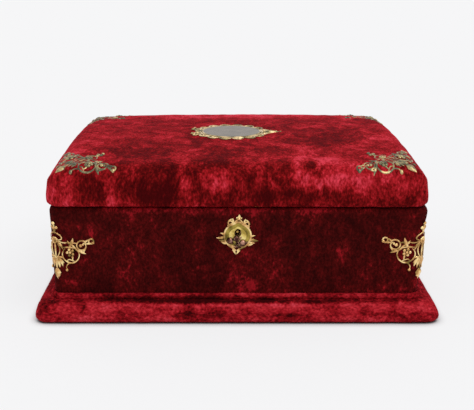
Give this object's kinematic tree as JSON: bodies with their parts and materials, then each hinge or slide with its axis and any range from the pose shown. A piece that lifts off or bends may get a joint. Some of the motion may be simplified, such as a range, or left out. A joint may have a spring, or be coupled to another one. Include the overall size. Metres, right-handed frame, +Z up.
{
  "type": "keepsake box",
  "caption": "Plush-covered keepsake box on a stepped plinth, with a hinged crowned lid, pierced gilt corner mounts, an oval plaque, a keyhole plate and a box lock.",
  "frame": {"origin": "middle of the plinth's footprint, on the surface the box stands on", "axes": "+Z up, the keyhole side faces -Y, +X to the right when seen from the front"},
  "size_m": [0.305, 0.236, 0.126],
  "materials": {
    "plush": "crushed crimson plush with a short pile",
    "wood": "plain softwood, unvarnished",
    "paper": "dark matt paper",
    "satin": "ivory satin over card and padding",
    "wadding": "loose cotton wadding",
    "gilt_brass": "stamped and gilt, pale gold",
    "tarnished_gilt": "stamped and gilt, dulled green-grey",
    "silvered_plate": "silvered brass, dull",
    "lock_brass": "plain brass, satin",
    "hinge_brass": "plain brass, satin",
    "spring_steel": "blued spring steel",
    "pin_steel": "drawn wire"
  },
  "bodies": {
    "box": {"base_board": "wood", "plinth_plush": "plush", "bottom_paper": "paper", "foot_bead_front": "plush", "foot_bead_back": "plush", "foot_bead_left": "plush", "foot_bead_right": "plush", "wall_front": "wood", "wall_back": "wood", "wall_left": "wood", "wall_right": "wood", "body_plush": "plush", "lining_front": "satin", "lining_back": "satin", "lining_left": "satin", "lining_right": "satin", "floor_pad": "satin", "body_mounts_front": "gilt_brass", "body_mounts_back": "gilt_brass", "escutcheon": "gilt_brass", "lock_case": "lock_brass", "lock_cap": "lock_brass", "lock_spring": "spring_steel", "hinge_leaf_lower_left": "hinge_brass", "hinge_leaf_lower_right": "hinge_brass", "hinge_pins": "pin_steel"},
    "lid": {"lid_rail_front": "wood", "lid_rail_back": "wood", "lid_rail_left": "wood", "lid_rail_right": "wood", "lid_board": "wood", "lid_wadding": "wadding", "lid_plush": "plush", "lid_lining_pad": "satin", "lid_mounts_front": "tarnished_gilt", "lid_mounts_back": "tarnished_gilt", "plaque_frame": "tarnished_gilt", "plaque_plate": "silvered_plate", "strike_plate": "lock_brass", "hinge_leaf_upper_left": "hinge_brass", "hinge_leaf_upper_right": "hinge_brass"},
    "lock_bolt": {"lock_bolt": "lock_brass"}
  },
  "joints": [
    {"name": "lid_hinge", "type": "hinge", "parent": "box", "child": "lid", "pos_m": [0, 0.11, 0.0885], "axis": [-1, 0, 0], "range_deg": [0, 98]},
    {"name": "lock_bolt_slide", "type": "slide", "parent": "box", "child": "lock_bolt", "axis": [1, 0, 0], "range_m": [0, 0.0042]}
  ]
}
